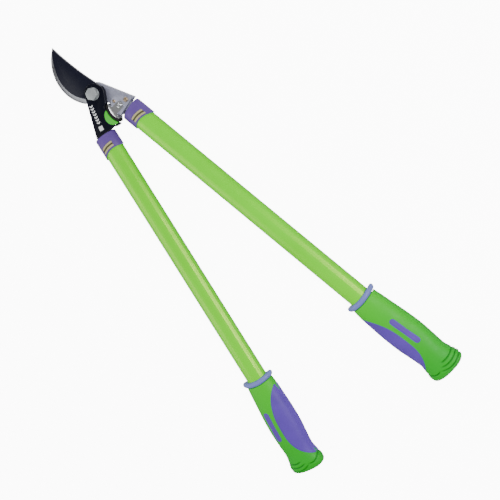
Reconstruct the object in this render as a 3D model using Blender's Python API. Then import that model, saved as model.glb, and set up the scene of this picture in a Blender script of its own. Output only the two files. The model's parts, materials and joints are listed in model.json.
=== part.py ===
"""Long-handled bypass lopper, jaws closed.

Frame: the pivot axis is +Z, the blade points along +Y, the handles run towards -Y.
z = 0 is the plane that the tool lies on: the pivot bolt's end and both grips touch it.
The blade, its arm and the left handle turn together about the pivot; the rest is fixed.
Lengths in this script are millimetres and angles are degrees; build() scales to metres.
"""
import math

import bmesh
import bpy
from mathutils import Vector

MILLIMETRE = 0.001

# ---- driving dimensions ---------------------------------------------------------------
GAP = 0.3                    # clearance between neighbouring pieces
SIDE_STEPS = 32              # points round an oval section
BORE_STEPS = 24              # points round a bolt hole

HANDLE_ANGLE = 10.0          # each handle's angle from the blade's direction
HANDLE_START_X = 19.8        # handle axis, sideways from the middle line, level with the pivot
MIDDLE_X = -3.1              # middle line of the two handles

BLADE_TIP = (-4.2, 89.8)
BLADE_THICKNESS = 4.5
BLADE_LAND = 0.6             # flat left at the cutting edge
CUTTING_CENTRE = (20.6, 38.2)
CUTTING_RADIUS = 57.2
CUTTING_HEEL_ANGLE = 221.5
BEVEL_SHIFT = 7.6            # the ground bevel's width at its middle
BEVEL_TIP_GAP = 1.6
BACK_HOLLOW = 2.2            # how far the blade's back is hollowed
BLADE_TANG_HEADING = 234.2   # direction of the arm from the pivot
BLADE_TANG_WIDTH = 16.0
BLADE_TANG_LENGTH = 33.0
BLADE_SCREW_PLACES = (20.5, 28.5)

EYE_RADIUS = 14.4            # round end of the blade's arm
ARM_TOP = 7.0                # top of the blade's arm above the shear plane
ARM_LEFT_TANGENT = 151.0
ARM_RIGHT_TANGENT = 25.0
ARM_CHEEK = ((-2.3, -26.4), (-0.9, -23.4), (0.9, -22.3), (4.2, -21.6), (14.9, -6.5), (15.9, -1.0))
PLATE_GAP = 0.2              # half of the gap between blade and hook

HOOK_THICKNESS = 8.0
HOOK_EYE_RADIUS = 16.0
HOOK_OUTER_RADIUS = 53.0
HOOK_TIP_Y = 80.0
HOOK_THROAT = (-9.0, 15.0)
HOOK_BELLY = (-21.0, 47.0)
HOOK_SHOULDER = (6.0, -23.2)  # the plate's corner beside the stop's upper end

CRADLE_CENTRE = (-0.5, -40.5)
CRADLE_RADIUS = 12.8
CRADLE_WALL = 2.5
STOP_CENTRE = (23.9, -38.0)
STOP_RADIUS = 28.0           # outer face of the rubber stop pad
PAD_THICKNESS = 4.4
SHOE_THICKNESS = 5.6
PAD_TOP = 5.2
SHOE_TOP = 5.6
BOSS_TOP = 4.0
BOSS_CENTRE = (18.1, -33.9)
BOSS_RADIUS = 12.1
STOP_SCREW_PLACE = (17.9, -37.0)
RIVET_PLACE = (30.2, -37.8)
SMALL_RIVET_PLACE = (14.6, -27.0)
PLATE_END = 45.5             # where the hook's plate stops, short of the ferrule
STOP_SCREW_RADIUS = 2.5
LUG_RADIUS = 5.6
RIVET_RADIUS = 2.0
SMALL_RIVET_RADIUS = 2.3
SMALL_RIVET_DEPTH = 3.0

BOLT_RADIUS = 5.0
BUSH_WALL = 1.6
BOLT_HEAD_WIDTH = 16.0       # across the flats; the nut's is the same
BOLT_HEAD_HEIGHT = 7.0
BOLT_HEAD_TURN = -18.0
SPRING_WASHER_THICKNESS = 1.3
WASHER_THICKNESS = 1.1
WASHER_SEAT = 1.4            # depth of the friction washer's seat below the shear plane
SEAT_RADIUS = 12.4
BLADE_SCREW_RADIUS = 2.2

FERRULE_START = 50.0         # distances along a handle are counted from the pivot's level
FERRULE_HALF = (17.8, 11.4)
FERRULE_WALL = 1.3
FERRULE_CORNER = 3.0
SCALLOP_CENTRE = (108.8, -6.0)
SCALLOP_RADIUS = 35.6
WINDOW_RIM = 2.0
WINDOW_DEPTH = 8.4
WINDOW_EDGES = (-8.5, 11.8)
RIB_WIDTH = 2.6

TUBE_HALF = (16.3, 9.8)
TUBE_WALL = 1.3
BUSH_END = 112.0
TANG_WIDTH = 14.0
TANG_THICKNESS = 5.8
TANG_END = 106.0
TANG_PIN_PLACE = 56.5
TANG_PIN_RADIUS = 1.8

COLLAR_START = 458.6         # at the ring's sides; its middle bows towards the grip
COLLAR_LENGTH = 8.0
COLLAR_HALF = (25.4, 14.2)
COLLAR_BOW = 4.0
GRIP_LENGTH = 151.6
GRIP_END_WALL = 21.9         # solid rubber behind the tube's plug
GRIP_SKIN = 2.2              # depth of the soft inlays
PAD_PROUD = 0.3
GRIP_HALF_HEIGHT = 14.2
PAD_CREST = (81.0, 3.2)      # where the soft pad's edge reaches furthest, from the grip's front
PAD_REACH = (67.5, 48.0)     # from there to the pad's front and back
PAD_POWERS = (2.5, 3.0)
PAD_DEPTH = 24.0
PAD_EDGE_OUT = -28.0         # where the edge ends, clear of the grip
INLAY_LEAN = 0.24            # one grip fits both handles, so its inlays lean round its axis
BAR_PLACE = (68.0, 12.0)     # the oblong inlay's centre, from the grip's front
BAR_SIZE = (49.0, 9.0)
BAR_TURN = 4.2

# ---- places worked out from them ------------------------------------------------------
HOOK_BOTTOM = -HOOK_THICKNESS
BLADE_BOTTOM = PLATE_GAP
BLADE_TOP = BLADE_BOTTOM + BLADE_THICKNESS
GRIP_START = COLLAR_START + COLLAR_LENGTH + GAP
TUBE_END = GRIP_START + GRIP_LENGTH - GRIP_END_WALL
SHEAR_Z = GRIP_HALF_HEIGHT + PAD_PROUD    # height of the plane between the blade and the hook
TUBE_BORE = (TUBE_HALF[0] - TUBE_WALL, TUBE_HALF[1] - TUBE_WALL)
TANG_CENTRE = PLATE_GAP + TANG_THICKNESS / 2.0
ARM_END = FERRULE_START - GAP
FERRULE_BORE = (FERRULE_HALF[0] - FERRULE_WALL, FERRULE_HALF[1] - FERRULE_WALL)


# ---- plane geometry -------------------------------------------------------------------
def polar(centre, radius, angle):
    """The point at an angle on a circle."""
    turn = math.radians(angle)
    return (centre[0] + radius * math.cos(turn), centre[1] + radius * math.sin(turn))


def arc(centre, radius, start, end, steps):
    """Points on an arc, both ends included."""
    return [polar(centre, radius, start + (end - start) * i / steps) for i in range(steps + 1)]


def angle_of(centre, point):
    return math.degrees(math.atan2(point[1] - centre[1], point[0] - centre[0]))


def arc_through(first, middle, last, steps):
    """Points on the arc from first to last that passes through middle."""
    ax, ay = first
    bx, by = middle
    cx, cy = last
    d = 2.0 * (ax * (by - cy) + bx * (cy - ay) + cx * (ay - by))
    a2, b2, c2 = ax * ax + ay * ay, bx * bx + by * by, cx * cx + cy * cy
    centre = ((a2 * (by - cy) + b2 * (cy - ay) + c2 * (ay - by)) / d,
              (a2 * (cx - bx) + b2 * (ax - cx) + c2 * (bx - ax)) / d)
    start, end = angle_of(centre, first), angle_of(centre, last)
    via = angle_of(centre, middle)
    if (via - start) % 360.0 < (end - start) % 360.0:
        end = start + (end - start) % 360.0
    else:
        end = start - (start - end) % 360.0
    return arc(centre, math.dist(centre, first), start, end, steps)


def circles_meet(centre_a, radius_a, centre_b, radius_b):
    """The two points where circles cross, the one with the larger y first."""
    span = math.dist(centre_a, centre_b)
    along = (span ** 2 + radius_a ** 2 - radius_b ** 2) / (2.0 * span)
    half = math.sqrt(radius_a ** 2 - along ** 2)
    ux, uy = (centre_b[0] - centre_a[0]) / span, (centre_b[1] - centre_a[1]) / span
    foot = (centre_a[0] + ux * along, centre_a[1] + uy * along)
    points = [(foot[0] - uy * half, foot[1] + ux * half), (foot[0] + uy * half, foot[1] - ux * half)]
    return sorted(points, key=lambda point: -point[1])


def capsule(start, end, radius, steps=8):
    """A round-ended strip between two points."""
    heading = angle_of(start, end)
    return (arc(end, radius, heading - 90.0, heading + 90.0, steps)
            + arc(start, radius, heading + 90.0, heading + 270.0, steps))


def handle_point(side, along, out):
    """Plan position of a point given along and outwards from a handle's axis."""
    turn = math.radians(HANDLE_ANGLE)
    start_x = MIDDLE_X + side * HANDLE_START_X
    return (start_x + side * (along * math.sin(turn) + out * math.cos(turn)),
            -along * math.cos(turn) + out * math.sin(turn))


# ---- materials ------------------------------------------------------------------------
def material(name, colour, roughness, metallic=0.0):
    made = bpy.data.materials.new(name)
    made.use_nodes = True
    shader = made.node_tree.nodes["Principled BSDF"]
    shader.inputs["Base Color"].default_value = (*colour, 1.0)
    shader.inputs["Roughness"].default_value = roughness
    shader.inputs["Metallic"].default_value = metallic
    return made


# ---- solids ---------------------------------------------------------------------------
def build(name, mesh_data, finish, parent):
    """Turn a bmesh in millimetres into a named object in metres."""
    bmesh.ops.recalc_face_normals(mesh_data, faces=mesh_data.faces)
    bmesh.ops.scale(mesh_data, vec=Vector((MILLIMETRE,) * 3), verts=mesh_data.verts)
    mesh = bpy.data.meshes.new(name)
    mesh_data.to_mesh(mesh)
    mesh_data.free()
    mesh.shade_smooth()
    mesh.set_sharp_from_angle(angle=math.radians(35.0))
    made = bpy.data.objects.new(name, mesh)
    bpy.context.scene.collection.objects.link(made)
    if finish is not None:
        mesh.materials.append(finish)
    made.parent = parent
    return made


def plate(levels, holes=()):
    """A closed solid through outlines at rising heights, with straight round holes.

    levels is a list of (z, outline); every outline has the same number of points.
    holes is a list of (centre, radius).
    """
    made = bmesh.new()
    rings = [[made.verts.new((x, y, z)) for x, y in outline] for z, outline in levels]
    bottom_z, top_z = levels[0][0], levels[-1][0]
    hole_rings = []
    for centre, radius in holes:
        circle = arc(centre, radius, 0.0, 360.0, BORE_STEPS)[:-1]
        hole_rings.append([[made.verts.new((x, y, z)) for x, y in circle] for z in (bottom_z, top_z)])
    for stack in [rings] + hole_rings:
        for low, high in zip(stack, stack[1:]):
            for i in range(len(low)):
                j = (i + 1) % len(low)
                made.faces.new((low[i], low[j], high[j], high[i]))
    for end in (0, -1):
        edges = []
        for stack in [rings] + hole_rings:
            loop = stack[end]
            edges += [made.edges.get((loop[i], loop[(i + 1) % len(loop)])) for i in range(len(loop))]
        bmesh.ops.triangle_fill(made, edges=edges, use_beauty=True)
    return made


def prism(outline, bottom, top, holes=()):
    return plate([(bottom, outline), (top, outline)], holes)


def turned(profile, centre=(0.0, 0.0), steps=BORE_STEPS, closed=False):
    """A body turned about a vertical axis from (radius, z) points.

    An open profile starts and ends on the axis; a closed one makes a ring.
    """
    made = bmesh.new()
    rings = []
    for radius, z in profile:
        if radius == 0.0:
            rings.append([made.verts.new((centre[0], centre[1], z))])
        else:
            circle = arc(centre, radius, 0.0, 360.0, steps)[:-1]
            rings.append([made.verts.new((x, y, z)) for x, y in circle])
    pairs = list(zip(rings, rings[1:])) + ([(rings[-1], rings[0])] if closed else [])
    for low, high in pairs:
        for i in range(steps):
            j = (i + 1) % steps
            corners = [low[i % len(low)], low[j % len(low)], high[j % len(high)], high[i % len(high)]]
            made.faces.new(list(dict.fromkeys(corners)))
    return made


def loft(rings, closed=False):
    """A body through rings of equal length; a closed loft is a sleeve."""
    made = bmesh.new()
    layers = [[made.verts.new(point) for point in ring] for ring in rings]
    pairs = list(zip(layers, layers[1:])) + ([(layers[-1], layers[0])] if closed else [])
    for low, high in pairs:
        for i in range(len(low)):
            j = (i + 1) % len(low)
            made.faces.new((low[i], low[j], high[j], high[i]))
    if not closed:
        made.faces.new(layers[0])
        made.faces.new(layers[-1])
    return made


def boolean(target, tool, operation):
    """Apply a Boolean that stays on the object; the tool is left out of the build."""
    modifier = target.modifiers.new(operation.title(), "BOOLEAN")
    modifier.operation = operation
    modifier.solver = "EXACT"
    modifier.object = tool
    tool.hide_render = True
    tool.display_type = "WIRE"


# ---- sections of a handle -------------------------------------------------------------
def oval(side, along, half, out=0.0, up=0.0, power=2.0, scallop=None, bow=0.0):
    """One oval ring across a handle.

    With a scallop radius the ring follows the ferrule's scalloped edge; with a bow its
    middle moves along the handle and its sides stay.
    """
    ring = []
    for i in range(SIDE_STEPS):
        turn = 2.0 * math.pi * i / SIDE_STEPS
        c, s = math.cos(turn), math.sin(turn)
        v = out + half[0] * math.copysign(abs(c) ** (2.0 / power), c)
        w = up + half[1] * math.copysign(abs(s) ** (2.0 / power), s)
        u = along if scallop is None else scallop_along(scallop, v) + along
        u += bow * (1.0 - (v / COLLAR_HALF[0]) ** 2)
        ring.append((side * v, -u, w))
    return ring


def scallop_along(radius, out):
    """Distance along the handle of the scalloped edge of a given radius."""
    offset = out - SCALLOP_CENTRE[1]
    return SCALLOP_CENTRE[0] - math.sqrt(radius ** 2 - offset ** 2)


def slot_ring(side, along, half_width, half_height, up):
    """A rectangular ring with the same number of points as an oval one."""
    ring = []
    for i in range(SIDE_STEPS):
        turn = 2.0 * math.pi * i / SIDE_STEPS
        c, s = math.cos(turn), math.sin(turn)
        reach = max(abs(c), abs(s))
        ring.append((side * half_width * c / reach, -along, up + half_height * s / reach))
    return ring


def window_band(side, inner, outer, bottom, top):
    """A curved band parallel to the scalloped edge, between two radii."""
    def edge(radius):
        first = math.asin((WINDOW_EDGES[0] - SCALLOP_CENTRE[1]) / radius)
        last = math.asin((WINDOW_EDGES[1] - SCALLOP_CENTRE[1]) / radius)
        angles = [first + (last - first) * i / 8.0 for i in range(9)]
        return [(side * (SCALLOP_CENTRE[1] + radius * math.sin(a)),
                 -(SCALLOP_CENTRE[0] - radius * math.cos(a))) for a in angles]
    return prism(edge(inner) + edge(outer)[::-1], bottom, top)


# ---- the grip's shape -----------------------------------------------------------------
# fraction of the grip's length, half width, share of the half thickness, outward shift
GRIP_STATIONS = (
    (0.000, 20.9, 0.887, 0.0),
    (0.080, 22.2, 0.930, 0.1),
    (0.190, 23.3, 0.972, 0.6),
    (0.350, 24.9, 1.000, 1.4),
    (0.510, 25.4, 1.000, 2.3),
    (0.665, 23.8, 0.979, 3.2),
    (0.775, 22.7, 0.958, 3.6),
    (0.845, 25.0, 0.979, 3.4),
    (0.900, 27.5, 1.000, 3.4),
    (0.945, 26.7, 0.979, 3.5),
    (0.980, 21.8, 0.817, 3.5),
    (1.000, 12.5, 0.528, 3.4),
)
GRIP_POWER = 2.3


def grip_rings(side, offset, first=0, last=len(GRIP_STATIONS)):
    """Rings of the grip's outer shape, moved in or out by an offset."""
    rings = []
    for share, half_width, height_share, out in GRIP_STATIONS[first:last]:
        half = (half_width + offset, GRIP_HALF_HEIGHT * height_share + offset)
        bow = COLLAR_BOW if share == 0.0 else 0.0
        rings.append(oval(side, GRIP_START + share * GRIP_LENGTH, half, out, power=GRIP_POWER, bow=bow))
    return rings


def pad_outline(side, margin, up):
    """The soft pad's lens shape in plan at a height: its edge bulges from the inner side."""
    edge = []
    for step in range(-12, 13):
        back = step > 0
        drop = PAD_CREST[1] - PAD_EDGE_OUT
        share = abs(step) / 12.0 * (drop / PAD_DEPTH) ** (1.0 / PAD_POWERS[back])
        reach = PAD_REACH[back] * share
        along = PAD_CREST[0] + reach if back else PAD_CREST[0] - reach
        edge.append((GRIP_START + along, PAD_CREST[1] - PAD_DEPTH * share ** PAD_POWERS[back]))
    inset = []
    for i, (u, v) in enumerate(edge):
        before, after = edge[max(i - 1, 0)], edge[min(i + 1, len(edge) - 1)]
        du, dv = after[0] - before[0], after[1] - before[1]
        length = math.hypot(du, dv)
        inset.append((u + margin * dv / length, v - margin * du / length))
    return [(side * (v - side * INLAY_LEAN * up), -u) for u, v in inset]


def leaning_pad(side, margin, reach):
    """A prism on the pad's outline, leaning round the grip's axis with height."""
    return plate([(-reach, pad_outline(side, margin, -reach)), (reach, pad_outline(side, margin, reach))])


def bar_outline(side, margin, face):
    """The oblong inlay on the grip's upper or lower face."""
    turn = math.radians(BAR_TURN)
    half = (BAR_SIZE[0] - BAR_SIZE[1]) / 2.0
    along, out = GRIP_START + BAR_PLACE[0], BAR_PLACE[1] - side * INLAY_LEAN * face * GRIP_HALF_HEIGHT
    ends = [(along + sign * half * math.cos(turn), out + sign * half * math.sin(turn))
            for sign in (-1.0, 1.0)]
    strip = capsule(ends[0], ends[1], BAR_SIZE[1] / 2.0 + margin, 6)
    return [(side * v, -u) for u, v in strip]


# ---- the fixed half: hook, stop and rivet ---------------------------------------------
def hook_outline():
    """The hook, the round eye and the arm's plate, anticlockwise from the hook's tip."""
    reach = math.sqrt(HOOK_OUTER_RADIUS ** 2 - (HOOK_TIP_Y - CUTTING_CENTRE[1]) ** 2)
    tip = (CUTTING_CENTRE[0] - reach, HOOK_TIP_Y)
    back = arc(CUTTING_CENTRE, HOOK_OUTER_RADIUS, angle_of(CUTTING_CENTRE, tip), 219.0, 16)
    eye_low = arc((0.0, 0.0), HOOK_EYE_RADIUS, 198.0, 245.0, 4)
    recess = arc(STOP_CENTRE, STOP_RADIUS - PAD_THICKNESS - SHOE_THICKNESS - GAP, 149.0, 204.0, 8)
    corner = handle_point(1.0, PLATE_END, 15.6)
    inner_corner = handle_point(1.0, PLATE_END, -16.0)
    eye_high = arc((0.0, 0.0), HOOK_EYE_RADIUS, 26.8, 118.0, 7)
    mouth = arc_through(HOOK_THROAT, HOOK_BELLY, tip, 14)
    bridge = [(4.0, -20.5), HOOK_SHOULDER]
    return back + eye_low + bridge + recess + [inner_corner, corner] + eye_high + mouth[:-1]


def boss_outline():
    """The raised part of the hook's arm that carries the stop."""
    recess = arc(STOP_CENTRE, STOP_RADIUS - PAD_THICKNESS - SHOE_THICKNESS - GAP, 152.0, 204.0, 6)
    inner_corner = handle_point(1.0, PLATE_END, -16.0)
    corner = handle_point(1.0, PLATE_END, 13.4)
    crown = arc(BOSS_CENTRE, BOSS_RADIUS, 32.0, 152.0, 8)
    return recess + [inner_corner, corner] + crown


def make_hook_side(finish, root, handle):
    bores = [((0.0, 0.0), BOLT_RADIUS + GAP), (RIVET_PLACE, RIVET_RADIUS + GAP),
             (STOP_SCREW_PLACE, STOP_SCREW_RADIUS + GAP)]
    hook = build("hook_arm", prism(hook_outline(), HOOK_BOTTOM, -PLATE_GAP, bores), finish["steel"], root)
    boss = build("boss_shape", prism(boss_outline(), HOOK_BOTTOM + 1.0, BOSS_TOP, bores[1:]), None, root)
    boolean(hook, boss, "UNION")
    tang = build("hook_tang_shape", tang_mesh(1.0, -TANG_CENTRE), None, handle)
    boolean(hook, tang, "UNION")
    seat = build("friction_seat_shape", turned([(0.0, -WASHER_SEAT), (SEAT_RADIUS, -WASHER_SEAT),
                                                (SEAT_RADIUS, 1.0), (0.0, 1.0)]), None, root)
    boolean(hook, seat, "DIFFERENCE")
    pin_hole = build("hook_pin_shape", tang_pin_mesh(1.0, -TANG_CENTRE, GAP), None, handle)
    boolean(hook, pin_hole, "DIFFERENCE")

    pad_outer = arc(STOP_CENTRE, STOP_RADIUS, 147.5, 211.5, 14)
    pad_inner = arc(STOP_CENTRE, STOP_RADIUS - PAD_THICKNESS, 211.5, 141.0, 14)
    build("stop_pad", prism(pad_outer + pad_inner, HOOK_BOTTOM + 0.4, PAD_TOP), finish["rubber"], root)

    shoe_outer = arc(STOP_CENTRE, STOP_RADIUS - PAD_THICKNESS - GAP, 144.0, 209.0, 14)
    shoe_inner = arc(STOP_CENTRE, STOP_RADIUS - PAD_THICKNESS - SHOE_THICKNESS, 203.0, 152.0, 10)
    shoe = build("stop_shoe", prism(shoe_outer + shoe_inner, HOOK_BOTTOM + 0.4, SHOE_TOP),
                 finish["chrome"], root)
    lug_start = (STOP_CENTRE[0] - STOP_RADIUS + PAD_THICKNESS + GAP + LUG_RADIUS + GAP,
                 STOP_SCREW_PLACE[1])
    lug = build("shoe_lug_shape", prism(capsule(lug_start, STOP_SCREW_PLACE, LUG_RADIUS),
                                        BOSS_TOP + GAP, SHOE_TOP - 0.2), None, root)
    boolean(shoe, lug, "UNION")
    trim = build("shoe_hole_shape", turned([(0.0, 0.0), (STOP_SCREW_RADIUS + GAP, 0.0),
                                            (STOP_SCREW_RADIUS + GAP, 10.0), (0.0, 10.0)],
                                           STOP_SCREW_PLACE), None, root)
    boolean(shoe, trim, "DIFFERENCE")

    head = SHOE_TOP - 0.2 + GAP
    screw = build("stop_screw", turned([(0.0, HOOK_BOTTOM + 0.6), (STOP_SCREW_RADIUS, HOOK_BOTTOM + 0.6),
                                        (STOP_SCREW_RADIUS, head), (3.9, head), (3.9, head + 1.1),
                                        (3.1, head + 2.0), (0.0, head + 2.0)], STOP_SCREW_PLACE),
                  finish["dark_steel"], root)
    socket = build("socket_shape", turned([(0.0, head + 0.6), (1.7, head + 0.6), (1.7, head + 4.0),
                                           (0.0, head + 4.0)], STOP_SCREW_PLACE, steps=6), None, root)
    boolean(screw, socket, "DIFFERENCE")

    build("arm_rivet", turned([(0.0, HOOK_BOTTOM - GAP - 1.4), (2.6, HOOK_BOTTOM - GAP - 1.4),
                               (3.4, HOOK_BOTTOM - GAP - 0.8), (3.4, HOOK_BOTTOM - GAP),
                               (RIVET_RADIUS, HOOK_BOTTOM - GAP), (RIVET_RADIUS, BOSS_TOP + GAP),
                               (3.5, BOSS_TOP + GAP), (3.5, BOSS_TOP + GAP + 0.8),
                               (2.5, BOSS_TOP + GAP + 1.6), (0.0, BOSS_TOP + GAP + 1.7)], RIVET_PLACE),
          finish["bronze"], root)
    seat_bottom = BOSS_TOP - SMALL_RIVET_DEPTH
    outer = SMALL_RIVET_RADIUS + GAP
    seat = build("small_rivet_seat_shape", turned([(0.0, seat_bottom), (outer, seat_bottom),
                                                   (outer, BOSS_TOP + 2.0), (0.0, BOSS_TOP + 2.0)],
                                                  SMALL_RIVET_PLACE, 16), None, root)
    boolean(hook, seat, "DIFFERENCE")
    build("small_rivet", turned([(0.0, seat_bottom + GAP), (SMALL_RIVET_RADIUS, seat_bottom + GAP),
                                 (SMALL_RIVET_RADIUS, BOSS_TOP - 0.7), (1.5, BOSS_TOP - 0.3),
                                 (0.0, BOSS_TOP - 0.2)], SMALL_RIVET_PLACE, 16), finish["bronze"], root)


# ---- the moving half: blade, its arm and the bumper -----------------------------------
def blade_levels():
    """Outlines of the blade at its flat side, its land and its coated face."""
    steps = 22
    tip_angle = angle_of(CUTTING_CENTRE, BLADE_TIP)
    edge = arc(CUTTING_CENTRE, CUTTING_RADIUS, tip_angle, CUTTING_HEEL_ANGLE, steps)
    bevel = []
    for i, point in enumerate(edge):
        share = i / steps
        width = BEVEL_TIP_GAP + (BEVEL_SHIFT - BEVEL_TIP_GAP) * min(1.0, share * 3.2) ** 0.8
        reach = (CUTTING_RADIUS - width) / CUTTING_RADIUS
        bevel.append((CUTTING_CENTRE[0] + (point[0] - CUTTING_CENTRE[0]) * reach,
                      CUTTING_CENTRE[1] + (point[1] - CUTTING_CENTRE[1]) * reach))
    tang_end = polar((0.0, 0.0), BLADE_TANG_LENGTH - BLADE_TANG_WIDTH / 2.0, BLADE_TANG_HEADING)
    left, right = BLADE_TANG_HEADING - 90.0, BLADE_TANG_HEADING + 90.0
    shoulder = polar((0.0, 0.0), EYE_RADIUS + 0.2, 196.0)
    tang = [shoulder, polar(shoulder, 4.0, BLADE_TANG_HEADING)]
    tang += arc(tang_end, BLADE_TANG_WIDTH / 2.0, left, right, 8)
    eye = arc((0.0, 0.0), EYE_RADIUS + 0.2, BLADE_TANG_HEADING + 62.0, 380.0, 9)
    back_start, tip = eye[-1], edge[0]
    middle = ((back_start[0] + tip[0]) / 2.0, (back_start[1] + tip[1]) / 2.0)
    heading = math.radians(angle_of(back_start, tip) + 90.0)
    hollow = (middle[0] + BACK_HOLLOW * math.cos(heading), middle[1] + BACK_HOLLOW * math.sin(heading))
    back = arc_through(back_start, hollow, tip, 10)[1:-1]
    rest = tang + eye + back
    return [(BLADE_BOTTOM, edge + rest), (BLADE_BOTTOM + BLADE_LAND, edge + rest),
            (BLADE_TOP, bevel + rest)]


def arm_outline():
    """The black arm, anticlockwise from its round end's right tangent."""
    eye = arc((0.0, 0.0), EYE_RADIUS, ARM_RIGHT_TANGENT, ARM_LEFT_TANGENT, 16)
    left_foot = handle_point(-1.0, ARM_END, 11.4)
    right_foot = handle_point(-1.0, ARM_END, -16.8)
    horn = arc(CRADLE_CENTRE, CRADLE_RADIUS + CRADLE_WALL, 226.0, 272.0, 6)
    cradle = arc(CRADLE_CENTRE, CRADLE_RADIUS, 274.0, 101.2, 16)
    return eye + [left_foot, right_foot] + horn + cradle + list(ARM_CHEEK)


def make_blade_side(finish, body, handle):
    screws = [polar((0.0, 0.0), place, BLADE_TANG_HEADING) for place in BLADE_SCREW_PLACES]
    blade_holes = [((0.0, 0.0), BOLT_RADIUS + GAP + BUSH_WALL + GAP)]
    blade_holes += [(place, BLADE_SCREW_RADIUS + GAP) for place in screws]
    build("cutting_blade", plate(blade_levels(), blade_holes), finish["blade"], body)

    arm = build("blade_arm", prism(arm_outline(), PLATE_GAP, ARM_TOP, blade_holes[:1]), finish["black"], body)
    tang = build("blade_tang_shape", tang_mesh(-1.0, TANG_CENTRE), None, handle)
    boolean(arm, tang, "UNION")
    pocket = build("blade_pocket_shape", pocket_mesh(), None, body)
    boolean(arm, pocket, "DIFFERENCE")
    pin_hole = build("arm_pin_shape", tang_pin_mesh(-1.0, TANG_CENTRE, GAP), None, handle)
    boolean(arm, pin_hole, "DIFFERENCE")
    for number, place in enumerate(screws, 1):
        build(f"blade_screw_{number}",
              turned([(0.0, BLADE_BOTTOM + 0.1), (BLADE_SCREW_RADIUS, BLADE_BOTTOM + 0.1),
                      (BLADE_SCREW_RADIUS, BLADE_TOP), (0.0, BLADE_TOP)], place, 16),
              finish["dark_steel"], body)

    outer_radius = CRADLE_RADIUS - GAP
    inner_radius = STOP_RADIUS + GAP + 0.1
    upper, lower = circles_meet(CRADLE_CENTRE, outer_radius, STOP_CENTRE, inner_radius)
    upper_angle, lower_angle = angle_of(CRADLE_CENTRE, upper), angle_of(CRADLE_CENTRE, lower) % 360.0
    outer = arc(CRADLE_CENTRE, outer_radius, upper_angle + 5.0, lower_angle - 3.0, 14)
    inner = arc(STOP_CENTRE, inner_radius, angle_of(STOP_CENTRE, lower) % 360.0 - 1.0,
                angle_of(STOP_CENTRE, upper) % 360.0 + 1.4, 12)
    build("bumper", prism(outer + inner, PLATE_GAP + GAP, ARM_TOP - 0.2), finish["green_rubber"], body)


def pocket_mesh():
    """Room for the blade's eye and tang under the arm."""
    clear = GAP + 0.1
    tang_end = polar((0.0, 0.0), BLADE_TANG_LENGTH - BLADE_TANG_WIDTH / 2.0, BLADE_TANG_HEADING)
    half = BLADE_TANG_WIDTH / 2.0 + clear
    left, right = BLADE_TANG_HEADING - 90.0, BLADE_TANG_HEADING + 90.0
    tang = arc(tang_end, half, left, right, 8)
    cheek_side = arc((0.0, 0.0), EYE_RADIUS + 0.2 + clear, BLADE_TANG_HEADING + 62.0, 374.0, 8)
    open_side = arc((0.0, 0.0), EYE_RADIUS + 6.0, 382.0, BLADE_TANG_HEADING + 308.0, 12)
    return prism(tang + cheek_side + open_side, BLADE_BOTTOM - 3.0, BLADE_TOP + GAP)


# ---- the pivot ------------------------------------------------------------------------
def make_pivot(finish, root, body):
    """A hexagon bolt from above, washers and a bush round it, and a nut flush with its end."""
    bolt_end = -SHEAR_Z
    nut_top = HOOK_BOTTOM - GAP - SPRING_WASHER_THICKNESS - GAP
    head_bottom = ARM_TOP + GAP + WASHER_THICKNESS + GAP
    head_top = head_bottom + BOLT_HEAD_HEIGHT
    bore = BOLT_RADIUS + GAP
    flats = [polar((0.0, 0.0), hexagon_reach(angle), angle + BOLT_HEAD_TURN) for angle in range(0, 360, 15)]
    crown, shank, shank_end = (arc((0.0, 0.0), radius, BOLT_HEAD_TURN, BOLT_HEAD_TURN + 345.0, 23)
                               for radius in (BOLT_HEAD_WIDTH / 2.0 - 0.3, BOLT_RADIUS, BOLT_RADIUS - 0.8))
    build("pivot_bolt", plate([(bolt_end, shank_end), (bolt_end + 0.8, shank), (head_bottom, shank),
                               (head_bottom, flats), (head_top - 1.3, flats), (head_top, crown)]),
          finish["zinc"], root)
    build("pivot_nut", plate([(bolt_end, crown), (bolt_end + 1.3, flats), (nut_top, flats)],
                             [((0.0, 0.0), bore)]), finish["zinc"], root)
    ring_stack = (("spring_washer", nut_top + GAP, HOOK_BOTTOM - GAP, 9.4, "dark_steel"),
                  ("friction_washer", -WASHER_SEAT + GAP, -0.1, SEAT_RADIUS - GAP, "bronze"),
                  ("pivot_washer", ARM_TOP + GAP, ARM_TOP + GAP + WASHER_THICKNESS, 9.0, "zinc"))
    for name, low, high, radius, slot in ring_stack:
        build(name, turned([(bore, low), (radius, low), (radius, high), (bore, high)], closed=True),
              finish[slot], root)
    bush_low, bush_high = BLADE_BOTTOM + GAP, ARM_TOP - 0.1
    build("pivot_bush", turned([(bore, bush_low), (bore + BUSH_WALL, bush_low),
                                (bore + BUSH_WALL, bush_high), (bore, bush_high)], closed=True),
          finish["bronze"], body)


def hexagon_reach(angle):
    """Distance from a hexagon's centre to its side at an angle; the corners lie at 30, 90 and so on."""
    return BOLT_HEAD_WIDTH / 2.0 / math.cos(math.radians((angle + 30.0) % 60.0 - 30.0))


# ---- a handle -------------------------------------------------------------------------
def tang_mesh(side, up):
    """The bar that enters the handle, with its neck overlapping the arm's plate."""
    start = PLATE_END - 3.0 if side > 0.0 else ARM_END - 3.0
    half = (TANG_WIDTH / 2.0, TANG_THICKNESS / 2.0)
    ends = ((start, half), (TANG_END - 2.0, half), (TANG_END, (half[0] - 1.0, half[1] - 1.0)))
    rings = [[(side * x, -along, up + z) for x, z in ((-w, -h), (w, -h), (w, h), (-w, h))]
             for along, (w, h) in ends]
    return loft(rings)


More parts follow.
